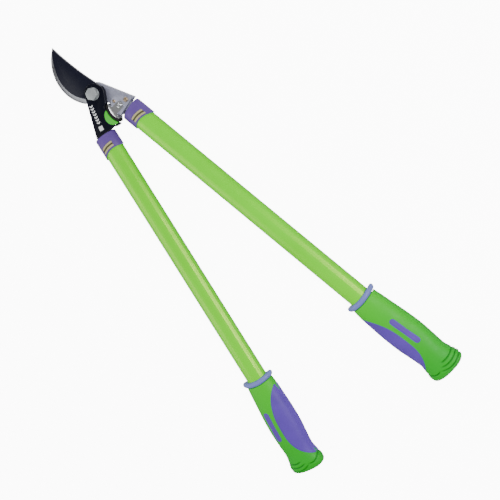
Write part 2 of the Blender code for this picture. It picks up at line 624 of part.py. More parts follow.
def tang_pin_mesh(side, up, margin):
    """The cross pin through the bush and the tang, or its hole."""
    radius = TANG_PIN_RADIUS + margin
    reach = FERRULE_BORE[0] * math.sqrt(1.0 - (up / FERRULE_BORE[1]) ** 2) - 1.4 + 4.0 * margin
    circle = arc((0.0, 0.0), radius, 0.0, 360.0, 16)[:-1]
    return loft([[(x, -TANG_PIN_PLACE + a, up + b) for a, b in circle] for x in (-reach, reach)])


def make_handle(name, side, tang_up, finish, handle):
    """Ferrule, bush, pin, tube, plug, collar and grip along one handle's axis."""
    slot_half = (TANG_WIDTH / 2.0 + GAP, TANG_THICKNESS / 2.0 + GAP)
    front = FERRULE_START + FERRULE_WALL
    half, bore = FERRULE_HALF, FERRULE_BORE
    corner, inner_corner = FERRULE_CORNER, FERRULE_CORNER / 2.0
    ferrule_rings = [oval(side, FERRULE_START, (half[0] - corner, half[1] - corner)),
                     oval(side, FERRULE_START + 0.3 * corner,
                          (half[0] - 0.3 * corner, half[1] - 0.3 * corner)),
                     oval(side, FERRULE_START + corner, half),
                     oval(side, -0.5, half, scallop=SCALLOP_RADIUS),
                     oval(side, 0.0, (half[0] - 0.5, half[1] - 0.5), scallop=SCALLOP_RADIUS),
                     oval(side, 0.0, bore, scallop=SCALLOP_RADIUS),
                     oval(side, front + inner_corner, bore),
                     oval(side, front, (bore[0] - inner_corner, bore[1] - inner_corner)),
                     slot_ring(side, front, slot_half[0], slot_half[1], tang_up),
                     slot_ring(side, FERRULE_START, slot_half[0], slot_half[1], tang_up)]
    ferrule = build(f"{name}_ferrule", loft(ferrule_rings, closed=True), finish["purple"], handle)
    window_inner = SCALLOP_RADIUS + WINDOW_RIM
    window = build(f"{name}_window_shape",
                   window_band(side, window_inner, window_inner + WINDOW_DEPTH, -SHEAR_Z, SHEAR_Z),
                   None, handle)
    boolean(ferrule, window, "DIFFERENCE")

    joint_radius = SCALLOP_RADIUS + 1.3
    fit = (bore[0] - GAP, bore[1] - GAP)
    spigot = (TUBE_BORE[0] - GAP, TUBE_BORE[1] - GAP)
    bush_rings = [oval(side, front + GAP, (fit[0] - inner_corner, fit[1] - inner_corner)),
                  oval(side, front + GAP + inner_corner, fit),
                  oval(side, -GAP, fit, scallop=joint_radius),
                  oval(side, -GAP, spigot, scallop=joint_radius),
                  oval(side, BUSH_END, spigot),
                  slot_ring(side, BUSH_END, slot_half[0], slot_half[1], tang_up),
                  slot_ring(side, front + GAP, slot_half[0], slot_half[1], tang_up)]
    bush = build(f"{name}_tube_bush", loft(bush_rings, closed=True), finish["cream"], handle)
    rib_half = (half[0] - 0.3, half[1] - 0.3)
    for rib, rib_inner in enumerate((window_inner + GAP, window_inner + WINDOW_DEPTH - GAP - RIB_WIDTH), 1):
        band = build(f"{name}_rib_shape_{rib}", window_band(side, rib_inner, rib_inner + RIB_WIDTH,
                                                           -SHEAR_Z, SHEAR_Z), None, handle)
        shell = build(f"{name}_rib_shell_{rib}",
                      loft([oval(side, front + 4.0, rib_half), oval(side, front + 34.0, rib_half),
                            oval(side, front + 34.0, (fit[0] - 1.0, fit[1] - 1.0)),
                             oval(side, front + 4.0, (fit[0] - 1.0, fit[1] - 1.0))], closed=True),
                      None, handle)
        boolean(band, shell, "INTERSECT")
        boolean(bush, band, "UNION")
    pin_hole = build(f"{name}_bush_pin_shape", tang_pin_mesh(side, tang_up, GAP), None, handle)
    boolean(bush, pin_hole, "DIFFERENCE")
    build(f"{name}_tang_pin", tang_pin_mesh(side, tang_up, 0.0), finish["dark_steel"], handle)

    tube_rings = [oval(side, 0.0, TUBE_HALF, scallop=joint_radius), oval(side, TUBE_END, TUBE_HALF),
                  oval(side, TUBE_END, TUBE_BORE), oval(side, 0.0, TUBE_BORE, scallop=joint_radius)]
    build(f"{name}_tube", loft(tube_rings, closed=True), finish["green_paint"], handle)
    plug_half = (TUBE_BORE[0] - GAP, TUBE_BORE[1] - GAP)
    flange = (TUBE_HALF[0] - 0.4, TUBE_HALF[1] - 0.4)
    plug_rings = [oval(side, TUBE_END - 14.0, (plug_half[0] - 1.0, plug_half[1] - 1.0)),
                  oval(side, TUBE_END - 12.0, plug_half), oval(side, TUBE_END + GAP, plug_half),
                  oval(side, TUBE_END + GAP, flange), oval(side, TUBE_END + 2.4, flange)]
    build(f"{name}_tube_plug", loft(plug_rings), finish["black_plastic"], handle)

    ring_bore = (TUBE_HALF[0] + GAP, TUBE_HALF[1] + GAP)
    collar_end = COLLAR_START + COLLAR_LENGTH
    collar_radius = COLLAR_LENGTH / 2.0
    collar_rings = []
    for angle in (-78.0, -45.0, -15.0, 15.0, 45.0, 78.0):
        along = COLLAR_START + collar_radius * (1.0 + math.sin(math.radians(angle)))
        inset = collar_radius * (1.0 - math.cos(math.radians(angle)))
        collar_half = (COLLAR_HALF[0] - inset, COLLAR_HALF[1] - inset)
        collar_rings.append(oval(side, along, collar_half, bow=COLLAR_BOW))
    collar_rings += [oval(side, collar_end, ring_bore, bow=COLLAR_BOW),
                     oval(side, COLLAR_START, ring_bore, bow=COLLAR_BOW)]
    build(f"{name}_collar", loft(collar_rings, closed=True), finish["lilac"], handle)
    make_grip(name, side, ring_bore, finish, handle)


def make_grip(name, side, ring_bore, finish, handle):
    """The green grip with recesses, and the soft inlays that fill them."""
    blind_end = TUBE_END + 2.4 + GAP
    rings = grip_rings(side, 0.0)
    rings += [oval(side, blind_end, (0.5, 0.3)), oval(side, blind_end, ring_bore),
              oval(side, GRIP_START, ring_bore, bow=COLLAR_BOW)]
    grip = build(f"{name}_grip", grip_solid(rings), finish["green_grip"], handle)

    skin_first, skin_last = 0, 10
    under = GRIP_SKIN
    pad_sleeve = grip_rings(side, PAD_PROUD, skin_first, skin_last)
    pad_sleeve += grip_rings(side, -under, skin_first, skin_last)[::-1]
    recess_sleeve = grip_rings(side, 6.0, skin_first, skin_last)
    recess_sleeve += grip_rings(side, -under - GAP, skin_first, skin_last)[::-1]

    pad = build(f"{name}_grip_pad", loft(pad_sleeve, closed=True), finish["soft_purple"], handle)
    lens = build(f"{name}_lens_shape", leaning_pad(side, GAP, SHEAR_Z + 6.0), None, handle)
    boolean(pad, lens, "INTERSECT")
    recess = build(f"{name}_recess_shape", loft(recess_sleeve, closed=True), None, handle)
    recess_lens = build(f"{name}_recess_lens_shape", leaning_pad(side, 0.0, SHEAR_Z + 8.0), None, handle)
    boolean(recess, recess_lens, "INTERSECT")
    boolean(grip, recess, "DIFFERENCE")

    reach = SHEAR_Z + 4.0
    for place, face, low, high in (("top", 1.0, 2.0, reach), ("bottom", -1.0, -reach, -2.0)):
        bar = build(f"{name}_grip_bar_{place}", loft(pad_sleeve, closed=True), finish["soft_purple"],
                    handle)
        strip = build(f"{name}_bar_{place}_shape", prism(bar_outline(side, 0.0, face), low, high),
                      None, handle)
        boolean(bar, strip, "INTERSECT")
        slot = build(f"{name}_slot_{place}", loft(recess_sleeve, closed=True), None, handle)
        slot_strip = build(f"{name}_slot_{place}_shape", prism(bar_outline(side, GAP, face), low, high),
                           None, handle)
        boolean(slot, slot_strip, "INTERSECT")
        boolean(grip, slot, "DIFFERENCE")


def grip_solid(rings):
    """The grip's outside and its blind bore, open at the collar's end only."""
    outside, inside = rings[:len(GRIP_STATIONS)], rings[len(GRIP_STATIONS):]
    made = bmesh.new()
    layers = [[made.verts.new(point) for point in ring] for ring in outside[::-1] + inside[::-1]]
    for low, high in zip(layers, layers[1:]):
        for i in range(SIDE_STEPS):
            j = (i + 1) % SIDE_STEPS
            made.faces.new((low[i], low[j], high[j], high[i]))
    made.faces.new(layers[0])
    made.faces.new(layers[-1])
    return made


# ---- the whole tool -------------------------------------------------------------------
FINISHES = {
    "steel": ((0.36, 0.36, 0.40), 0.34, 1.0),
    "chrome": ((0.82, 0.83, 0.85), 0.10, 1.0),
    "zinc": ((0.62, 0.64, 0.64), 0.30, 1.0),
    "dark_steel": ((0.10, 0.10, 0.11), 0.40, 1.0),
    "bronze": ((0.52, 0.40, 0.27), 0.35, 1.0),
    "blade": ((0.012, 0.014, 0.022), 0.38, 0.0),
    "black": ((0.010, 0.012, 0.020), 0.35, 0.0),
    "rubber": ((0.012, 0.012, 0.013), 0.75, 0.0),
    "green_rubber": ((0.23, 0.55, 0.13), 0.55, 0.0),
    "purple": ((0.16, 0.11, 0.36), 0.40, 0.0),
    "lilac": ((0.25, 0.28, 0.50), 0.40, 0.0),
    "soft_purple": ((0.14, 0.10, 0.36), 0.60, 0.0),
    "green_paint": ((0.26, 0.56, 0.09), 0.28, 0.0),
    "green_grip": ((0.09, 0.47, 0.06), 0.55, 0.0),
    "cream": ((0.38, 0.35, 0.25), 0.60, 0.0),
    "black_plastic": ((0.02, 0.02, 0.02), 0.55, 0.0),
}


def clear_scene():
    for old in list(bpy.data.objects):
        bpy.data.objects.remove(old, do_unlink=True)


def empty(name, parent, location, turn=0.0):
    made = bpy.data.objects.new(name, None)
    bpy.context.scene.collection.objects.link(made)
    made.parent = parent
    made.location = [value * MILLIMETRE for value in location]
    made.rotation_euler = (0.0, 0.0, math.radians(turn))
    return made


def main():
    clear_scene()
    finish = {name: material(name, *look) for name, look in FINISHES.items()}
    hook_side = empty("hook_side", None, (0.0, 0.0, SHEAR_Z))
    blade_side = empty("blade_side", None, (0.0, 0.0, SHEAR_Z))
    right = empty("right_handle", hook_side, (MIDDLE_X + HANDLE_START_X, 0.0, 0.0), HANDLE_ANGLE)
    left = empty("left_handle", blade_side, (MIDDLE_X - HANDLE_START_X, 0.0, 0.0), -HANDLE_ANGLE)
    make_hook_side(finish, hook_side, right)
    make_blade_side(finish, blade_side, left)
    make_pivot(finish, hook_side, blade_side)
    make_handle("right", 1.0, -TANG_CENTRE, finish, right)
    make_handle("left", -1.0, TANG_CENTRE, finish, left)


main()
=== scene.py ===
"""Looks for the long-handled bypass lopper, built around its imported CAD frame.

Lengths are millimetres in the CAD's row frame unless a name says otherwise; M scales to metres.
"""
import json
import math

import bmesh
import bpy
from mathutils import Matrix, Vector

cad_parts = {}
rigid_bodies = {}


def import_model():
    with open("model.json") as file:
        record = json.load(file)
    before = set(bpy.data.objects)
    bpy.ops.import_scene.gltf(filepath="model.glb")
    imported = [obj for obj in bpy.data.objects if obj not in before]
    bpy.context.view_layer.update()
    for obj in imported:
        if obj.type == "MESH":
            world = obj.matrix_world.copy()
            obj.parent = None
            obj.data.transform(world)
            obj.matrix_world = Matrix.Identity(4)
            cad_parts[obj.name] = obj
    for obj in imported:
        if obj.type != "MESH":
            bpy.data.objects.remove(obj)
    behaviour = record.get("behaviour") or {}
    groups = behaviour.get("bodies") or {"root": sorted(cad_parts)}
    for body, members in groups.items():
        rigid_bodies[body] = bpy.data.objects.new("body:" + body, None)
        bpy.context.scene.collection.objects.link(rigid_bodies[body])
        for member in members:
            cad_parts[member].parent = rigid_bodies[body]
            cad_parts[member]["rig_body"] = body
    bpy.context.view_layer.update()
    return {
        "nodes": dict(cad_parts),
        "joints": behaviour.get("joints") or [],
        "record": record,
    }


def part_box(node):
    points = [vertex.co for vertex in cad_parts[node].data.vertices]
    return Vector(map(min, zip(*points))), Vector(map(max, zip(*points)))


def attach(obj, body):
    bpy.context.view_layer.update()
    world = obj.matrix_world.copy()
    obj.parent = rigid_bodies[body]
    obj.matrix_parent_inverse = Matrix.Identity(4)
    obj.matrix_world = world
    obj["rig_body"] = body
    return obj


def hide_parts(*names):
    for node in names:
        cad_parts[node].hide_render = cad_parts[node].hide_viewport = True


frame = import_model()
M = 0.001

# ---- where things are -------------------------------------------------------------------
SHEAR_Z = frame["joints"][0]["pos_m"][2] / M
HANDLE_ANGLE = math.radians(10.0)
START_X = 19.8
MIDDLE_X = -3.1
BODY = {1.0: "hook_side", -1.0: "blade_side"}
SIDE_NAME = {1.0: "right", -1.0: "left"}
COLLAR_START = 458.6
COLLAR_LENGTH = 8.0
COLLAR_HALF = (25.4, 14.2)
COLLAR_BOW = 4.0
COLLAR_BORE_HALF = (16.7, 10.2)
BOW_FADE = 0.08              # the share of the grip over which the bow fades out
GRIP_START = 466.9
GRIP_LENGTH = 151.6
GRIP_HALF_HEIGHT = 14.2
GRIP_POWER = 2.3
# the grip's stations: share of its length, half width, share of its half height, shift outwards
GRIP_STATIONS = (
    (0.000, 20.9, 0.887, 0.0), (0.080, 22.2, 0.930, 0.1), (0.190, 23.3, 0.972, 0.6),
    (0.350, 24.9, 1.000, 1.4), (0.510, 25.4, 1.000, 2.3), (0.665, 23.8, 0.979, 3.2),
    (0.775, 22.7, 0.958, 3.6), (0.845, 25.0, 0.979, 3.4), (0.900, 27.4, 0.996, 3.4),
    (0.935, 27.0, 0.985, 3.4),
)
BUTT_FROM = 0.925
BUTT_POWERS = (2.5, 2.2)


def place(side, along, out, up):
    """A handle's own position, along from the pivot's level, outwards and up, in the row frame."""
    x = MIDDLE_X + side * START_X + side * (along * math.sin(HANDLE_ANGLE) + out * math.cos(HANDLE_ANGLE))
    y = -along * math.cos(HANDLE_ANGLE) + out * math.sin(HANDLE_ANGLE)
    return Vector((x * M, y * M, (SHEAR_Z + up) * M))


def bowed(along, out, share=1.0):
    """A distance along the handle moved by a share of the collar's bow."""
    return along + COLLAR_BOW * (1.0 - (out / COLLAR_HALF[0]) ** 2) * share


def bowed_grip(along, out):
    """The same for the grip, which follows the collar and straightens over its first few millimetres."""
    return bowed(along, out, max(0.0, 1.0 - (along - GRIP_START) / (BOW_FADE * GRIP_LENGTH)))


# ---- materials --------------------------------------------------------------------------
PAINT = (0.14, 0.77, 0.002)
GRIP_GREEN = (0.006, 0.40, 0.012)
# painted light: the paler green at the pivot end of the grips
GRIP_NEAR_LIT = (0.045, 0.56, 0.006)
# painted shade: the dark green inside the grip's grooves
GROOVE_SHADE = (0.001, 0.16, 0.004)
PAD = (0.105, 0.05, 0.38)
# painted shade in the seam round the soft inlays
PAD_SEAM_SHADE = (0.04, 0.02, 0.14)
FERRULE = (0.11, 0.06, 0.27)
COLLAR = (0.16, 0.19, 0.52)
BLADE = (0.007, 0.0075, 0.017)
WORN = (0.10, 0.10, 0.115)
BLACK = (0.004, 0.0045, 0.010)
# grey of the arm's edges: paint wear and a painted highlight
EDGE_WEAR_AND_HIGHLIGHT = (0.16, 0.165, 0.18)
RIB = (0.42, 0.38, 0.20)
# painted shade on the recessed wall between the cream ribs
RIB_GAP_SHADE = (0.085, 0.085, 0.035)
GROUND_STEEL = (0.20, 0.205, 0.22)
MARK = (0.72, 0.73, 0.74)


class Look:
    """A Principled material with helpers for procedural detail in object coordinates."""

    def __init__(self, name, colour, roughness, metallic=0.0, **sockets):
        self.material = bpy.data.materials.new(name)
        self.material.use_nodes = True
        self.tree = self.material.node_tree
        self.shader = self.tree.nodes["Principled BSDF"]
        self.set(self.shader, "Base Color", (*colour, 1.0))
        self.set(self.shader, "Roughness", roughness)
        self.set(self.shader, "Metallic", metallic)
        for key, value in sockets.items():
            self.set(self.shader, key.replace("_", " "), value)
        self.coords = self.node("ShaderNodeTexCoord").outputs["Object"]

    def node(self, kind, **values):
        made = self.tree.nodes.new(kind)
        for key, value in values.items():
            setattr(made, key, value)
        return made

    def set(self, node, socket, value):
        if isinstance(value, bpy.types.NodeSocket):
            self.tree.links.new(value, node.inputs[socket])
        else:
            node.inputs[socket].default_value = value

    def noise(self, scale, detail=3.0, roughness=0.55, stretch=None):
        coords = self.coords
        if stretch is not None:
            mapping = self.node("ShaderNodeMapping")
            self.set(mapping, "Vector", coords)
            self.set(mapping, "Scale", stretch)
            coords = mapping.outputs["Vector"]
        made = self.node("ShaderNodeTexNoise")
        self.set(made, "Vector", coords)
        self.set(made, "Scale", scale)
        self.set(made, "Detail", detail)
        self.set(made, "Roughness", roughness)
        return made.outputs["Fac"]

    def cells(self, scale):
        made = self.node("ShaderNodeTexVoronoi")
        self.set(made, "Vector", self.coords)
        self.set(made, "Scale", scale)
        return made.outputs["Distance"]

    def span(self, value, low, high, to_low, to_high):
        """The value moved from one range to another, held at the ends."""
        made = self.node("ShaderNodeMapRange")
        self.set(made, "Value", value)
        ends = {"From Min": low, "From Max": high, "To Min": to_low, "To Max": to_high}
        for socket, number in ends.items():
            self.set(made, socket, number)
        return made.outputs["Result"]

    def math(self, operation, first, second=0.0):
        made = self.node("ShaderNodeMath", operation=operation)
        self.set(made, 0, first)
        self.set(made, 1, second)
        return made.outputs["Value"]

    def mix(self, share, first, second):
        made = self.node("ShaderNodeMix", data_type="RGBA")
        self.set(made, 0, share)
        self.set(made, 6, first if isinstance(first, bpy.types.NodeSocket) else (*first, 1.0))
        self.set(made, 7, second if isinstance(second, bpy.types.NodeSocket) else (*second, 1.0))
        return made.outputs[2]

    def multiply(self, first, second):
        made = self.node("ShaderNodeMix", data_type="RGBA", blend_type="MULTIPLY")
        self.set(made, 0, 1.0)
        self.set(made, 6, first)
        self.set(made, 7, second)
        return made.outputs[2]

    def bump(self, height, distance_mm, strength):
        made = self.node("ShaderNodeBump")
        self.set(made, "Height", height)
        self.set(made, "Distance", distance_mm * M)
        self.set(made, "Strength", strength)
        return made.outputs["Normal"]

    def attribute(self, name):
        return self.node("ShaderNodeAttribute", attribute_name=name).outputs["Fac"]

    def axis(self, letter, source):
        split = self.node("ShaderNodeSeparateXYZ")
        self.set(split, 0, source)
        return split.outputs[letter]

    def face_up(self):
        """1 where the true surface looks straight up or down, 0 on its sides and bevels."""
        normal = self.node("ShaderNodeNewGeometry").outputs["True Normal"]
        return self.span(self.math("ABSOLUTE", self.axis("Z", normal)), 0.985, 0.998, 0.0, 1.0)

    def painted_side_shade(self, colour, low, high, factor):
        """Painted shade: deeper colour where the surface turns away from straight up or down."""
        normal = self.node("ShaderNodeNewGeometry").outputs["Normal"]
        flat = self.span(self.math("ABSOLUTE", self.axis("Z", normal)), low, high, 0.0, 1.0)
        return self.multiply(colour, self.mix(flat, factor, (1.0, 1.0, 1.0)))

    def finish(self, colour=None, roughness=None, normal=None):
        if colour is not None:
            self.set(self.shader, "Base Color", colour)
        if roughness is not None:
            self.set(self.shader, "Roughness", roughness)
        if normal is not None:
            self.set(self.shader, "Normal", normal)
        return self.material


def scaled(colour, factor):
    """A colour made darker or paler."""
    return tuple(min(1.0, channel * factor) for channel in colour)


def green_paint():
    """Glossy powder paint with orange peel, fine specks and painted shade on its sides."""
    look = Look("green_powder_paint", PAINT, 0.27, Specular_IOR_Level=0.75,
                Specular_Tint=(1.0, 1.0, 0.2, 1.0))
    drift = look.span(look.noise(9.0, 2.0), 0.35, 0.65, 0.0, 1.0)
    colour = look.mix(drift, scaled(PAINT, 0.95), scaled(PAINT, 1.05))
    specks = look.span(look.noise(900.0, 1.0), 0.68, 0.75, 0.0, 0.25)
    colour = look.mix(specks, colour, scaled(PAINT, 0.7))
    # painted shade: deeper green on the tubes' sides, by surface direction
    colour = look.painted_side_shade(colour, 0.2, 0.8, (0.25, 0.6, 1.0))
    peel = look.bump(look.noise(420.0, 2.0), 0.03, 0.5)
    return look.finish(colour, look.span(look.noise(60.0, 4.0), 0.3, 0.7, 0.22, 0.34), peel)


def moulded(name, base, rough, grain=700.0, depth=0.05):
    """Satin moulded plastic or soft rubber: the look, its roughness and its spark-eroded grain."""
    look = Look(name, base, rough, Specular_IOR_Level=0.22)
    roughness = look.span(look.noise(90.0, 3.0), 0.3, 0.7, rough - 0.06, rough + 0.07)
    return look, roughness, look.bump(look.cells(grain), depth, 0.5)


def scuffed(look, base):
    """A slow drift of the base colour, with paler scuffs."""
    drift = look.span(look.noise(35.0, 4.0), 0.3, 0.7, 0.0, 1.0)
    colour = look.mix(drift, scaled(base, 0.93), scaled(base, 1.12))
    scuff = look.span(look.noise(160.0, 5.0, 0.7), 0.62, 0.75, 0.0, 0.35)
    return look.mix(scuff, colour, scaled(base, 1.3))


def simple(name, base, rough, **grain):
    look, roughness, texture = moulded(name, base, rough, **grain)
    return look.finish(scuffed(look, base), roughness, texture)


def grip_green():
    """Green rubber with painted light and shade: paler near the pivot and deeper down the grip, deeper round
    its sides, and painted shade dark in its grooves.
    """
    look, roughness, texture = moulded("grip_rubber", GRIP_GREEN, 0.52, 900.0)
    reach = look.node("ShaderNodeVectorMath", operation="LENGTH")
    look.set(reach, 0, look.coords)
    # painted light and shade: paler near the pivot, deepening down the grip
    share = look.span(reach.outputs["Value"], 0.47, 0.60, 0.0, 1.0)
    light_falloff = look.mix(share, GRIP_NEAR_LIT, GRIP_GREEN)
    drift = look.mix(look.noise(35.0, 4.0), (0.93, 0.93, 0.93), (1.0, 1.0, 1.0))
    # painted shade: deeper green round the grip's sides, by surface direction
    colour = look.painted_side_shade(look.multiply(light_falloff, drift), 0.1, 0.75, (0.35, 0.7, 1.0))
    # painted shade in the grooves, by their depth
    return look.finish(look.mix(look.attribute("groove"), colour, GROOVE_SHADE), roughness, texture)


def pad_purple():
    """The soft inlays, with painted shade darkening the seam at their rim."""
    look, roughness, texture = moulded("soft_pad", PAD, 0.5, 650.0, 0.08)
    return look.finish(look.mix(look.attribute("rim"), scuffed(look, PAD), PAD_SEAM_SHADE), roughness, texture)


def ribs():
    """Cream ribs with painted shade on the wall between them."""
    look, roughness, texture = moulded("rib_plastic", RIB, 0.55)
    colour = look.mix(look.attribute("raised"), RIB_GAP_SHADE, scuffed(look, RIB))
    return look.finish(colour, roughness, texture)


def metal(name, base, rough, streak=(1.0, 1.0, 1.0), scale=300.0, amount=0.12, depth=0.01, metallic=1.0):
    """Metal with a worked grain, stretched by streak, and faint stains."""
    look = Look(name, base, rough, metallic)
    lines = look.noise(scale, 4.0, 0.6, streak)
    colour = look.mix(lines, scaled(base, 1.0 - amount), scaled(base, 1.0 + amount))
    stain = look.span(look.noise(70.0, 5.0, 0.65), 0.55, 0.75, 0.0, 0.5)
    colour = look.mix(stain, colour, scaled(base, 0.72))
    roughness = look.span(lines, 0.3, 0.7, rough - 0.08, rough + 0.1)
    return look.finish(colour, roughness, look.bump(lines, depth, 0.6))


GRIND_CENTRE = (20.6, 38.2)


def blade_finish():
    """Dark non-stick coating on the flats, bare ground steel on the bevel and the back."""
    look = Look("coated_blade", BLADE, 0.33, 0.0, Specular_IOR_Level=0.12)
    flat = look.face_up()
    centre = look.node("ShaderNodeVectorMath", operation="SUBTRACT")
    look.set(centre, 0, look.coords)
    look.set(centre, 1, (GRIND_CENTRE[0] * M, GRIND_CENTRE[1] * M, 0.0))
    away = centre.outputs["Vector"]
    angle = look.math("ARCTAN2", look.axis("Y", away), look.axis("X", away))
    grind = look.node("ShaderNodeTexNoise", noise_dimensions="1D")
    look.set(grind, "W", angle)
    look.set(grind, "Scale", 420.0)
    look.set(grind, "Detail", 3.0)
    steel = look.mix(grind.outputs["Fac"], scaled(GROUND_STEEL, 0.62), scaled(GROUND_STEEL, 1.3))
    mottle = look.noise(240.0, 5.0, 0.7)
    coat = look.mix(mottle, scaled(BLADE, 0.8), scaled(BLADE, 1.25))
    worn = look.span(look.noise(110.0, 6.0, 0.75), 0.63, 0.72, 0.0, 0.12)
    coat = look.mix(worn, coat, WORN)
    bare = look.span(flat, 0.0, 1.0, 1.0, 0.0)
    look.set(look.shader, "Metallic", bare)
    rough = look.math("ADD", look.span(flat, 0.0, 1.0, 0.36, 0.30), look.span(mottle, 0.3, 0.7, -0.05, 0.07))
    height = look.math("ADD", look.math("MULTIPLY", grind.outputs["Fac"], bare), mottle)
    return look.finish(look.mix(flat, steel, coat), rough, look.bump(height, 0.012, 0.7))


def arm_paint():
    """Satin black paint, rubbed back to grey along its edges, the grey edges also a painted highlight."""
    look = Look("black_arm_paint", BLACK, 0.36, Specular_IOR_Level=0.08)
    bevel = look.node("ShaderNodeBevel", samples=4)
    look.set(bevel, "Radius", 0.7 * M)
    dot = look.node("ShaderNodeVectorMath", operation="DOT_PRODUCT")
    look.set(dot, 0, bevel.outputs["Normal"])
    look.set(dot, 1, look.node("ShaderNodeNewGeometry").outputs["Normal"])
    edge = look.span(dot.outputs["Value"], 0.93, 0.995, 1.0, 0.0)
    edge = look.math("MULTIPLY", edge, look.span(look.noise(260.0, 4.0), 0.35, 0.6, 0.1, 0.8))
    base = look.mix(look.noise(150.0, 4.0), scaled(BLACK, 0.85), scaled(BLACK, 1.3))
    peel = look.bump(look.noise(600.0, 2.0), 0.025, 0.6)
    # the paler edges: paint wear and painted highlight
    colour = look.mix(edge, base, EDGE_WEAR_AND_HIGHLIGHT)
    return look.finish(colour, look.span(look.noise(90.0), 0.3, 0.7, 0.3, 0.44), peel)


LOOKS = {
    "green_paint": green_paint(),
    "green_grip": grip_green(),
    "soft_purple": pad_purple(),
    "purple": simple("ferrule_plastic", FERRULE, 0.42, grain=800.0),
    "lilac": simple("collar_plastic", COLLAR, 0.38, grain=800.0),
    "cream": ribs(),
    "black_plastic": simple("plug_plastic", (0.02, 0.02, 0.02), 0.55),
    "green_rubber": simple("bumper_rubber", (0.055, 0.50, 0.03), 0.45, grain=900.0, depth=0.03),
    "rubber": simple("stop_rubber", (0.012, 0.012, 0.013), 0.7, grain=900.0, depth=0.06),
    "steel": metal("hook_steel", (0.36, 0.37, 0.47), 0.42, (1.0, 0.25, 1.0), 500.0, 0.16, 0.015, 0.5),
    "chrome": metal("shoe_chrome", (0.80, 0.81, 0.83), 0.14, (1.0, 1.0, 1.0), 200.0, 0.05, 0.004),
    "zinc": metal("zinc_plate", (0.42, 0.45, 0.46), 0.34, (1.0, 1.0, 1.0), 350.0, 0.10, 0.008, 0.5),
    "dark_steel": metal("oiled_steel", (0.12, 0.12, 0.13), 0.38),
    "bronze": metal("bronze", (0.50, 0.38, 0.25), 0.34),
    "blade": blade_finish(),
    "black": arm_paint(),
}


def dress(piece, slot, body):
    """Gives a piece its material and slot, and the body it moves with."""
    piece.data.materials.clear()
    piece.data.materials.append(LOOKS[slot])
    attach(piece, body)


def link(name, made, sharp=35.0):
    """Turns a bmesh into a linked object, smooth but for edges sharper than the angle in degrees."""
    mesh = bpy.data.meshes.new(name)
    bmesh.ops.recalc_face_normals(made, faces=made.faces)
    made.to_mesh(mesh)
    made.free()
    mesh.shade_smooth()
    mesh.set_sharp_from_angle(angle=math.radians(sharp))
    piece = bpy.data.objects.new(name, mesh)
    bpy.context.scene.collection.objects.link(piece)
    return piece


# ---- the CAD nodes that stay, and those redone with rounded edges -----------------------
SLOT = {entry["node"]: entry["material_slot"] for entry in frame["record"]["subparts"]}
ROUNDED = {
    "cutting_blade": 0.26, "blade_arm": 0.55, "hook_arm": 0.6, "bumper": 1.1, "stop_pad": 0.9,
    "stop_shoe": 1.3, "stop_screw": 0.25, "arm_rivet": 0.2, "pivot_nut": 0.3, "pivot_bolt": 0.3,
    "pivot_washer": 0.2, "right_ferrule": 0.45, "left_ferrule": 0.45,
    "right_tube_bush": 0.35, "left_tube_bush": 0.35,
}
RIB_HALF = (17.5, 11.1)
WALL_LEVEL = 0.93            # the wall between the ribs, as a share of their height from the axis
RIB_FADE = 0.03


def mark_ribs(piece, side):
    """Stores how close each point of a bush is to the ribs' height, to tell ribs from the wall between,
    which takes painted shade.
    """
    layer = piece.data.attributes.new("raised", "FLOAT", "POINT")
    for index, vert in enumerate(piece.data.vertices):
        x, y, z = (value / M for value in vert.co)
        out = (side * (x - MIDDLE_X) - START_X) * math.cos(HANDLE_ANGLE) + y * math.sin(HANDLE_ANGLE)
        level = math.hypot(out / RIB_HALF[0], (z - SHEAR_Z) / RIB_HALF[1])
        layer.data[index].value = min(1.0, max(0.0, (level - WALL_LEVEL) / RIB_FADE))


def rounded_copy(node, width):
    """A copy of a CAD node's solid with its sharp edges rounded."""
    made = bmesh.new()
    made.from_mesh(frame["nodes"][node].data)
    bmesh.ops.remove_doubles(made, verts=made.verts, dist=1e-6)
    bmesh.ops.dissolve_limit(made, angle_limit=math.radians(0.6), verts=made.verts, edges=made.edges)
    sharp = [edge for edge in made.edges
             if len(edge.link_faces) == 2 and edge.calc_face_angle(0.0) > math.radians(32.0)]
    bmesh.ops.bevel(made, geom=sharp, offset=width * M, offset_type="OFFSET", segments=2, profile=0.6,
                    affect="EDGES", clamp_overlap=True)
    piece = link(node + "_rounded", made, 30.0)
    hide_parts(node)
    return piece


for node, thing in frame["nodes"].items():
    thing.data.materials.clear()
    thing.data.materials.append(LOOKS[SLOT[node]])
for node, width in ROUNDED.items():
    piece = rounded_copy(node, width)
    if node.endswith("tube_bush"):
        mark_ribs(piece, 1.0 if node.startswith("right") else -1.0)
    dress(piece, SLOT[node], frame["nodes"][node]["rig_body"])


# ---- the grips --------------------------------------------------------------------------
def smooth_value(share, column):
    """A cubic through the stations' values."""
    rows = GRIP_STATIONS
    i = max(k for k in range(len(rows) - 1) if rows[k][0] <= share or k == 0)
    before, here, there, after = rows[max(i - 1, 0)], rows[i], rows[i + 1], rows[min(i + 2, len(rows) - 1)]
    width = there[0] - here[0]
    t = (share - here[0]) / width
    slope_a = (there[column] - before[column]) / (there[0] - before[0]) * width
    slope_b = (after[column] - here[column]) / (after[0] - here[0]) * width
    return ((2 * t ** 3 - 3 * t ** 2 + 1) * here[column] + (t ** 3 - 2 * t ** 2 + t) * slope_a
            + (-2 * t ** 3 + 3 * t ** 2) * there[column] + (t ** 3 - t ** 2) * slope_b)


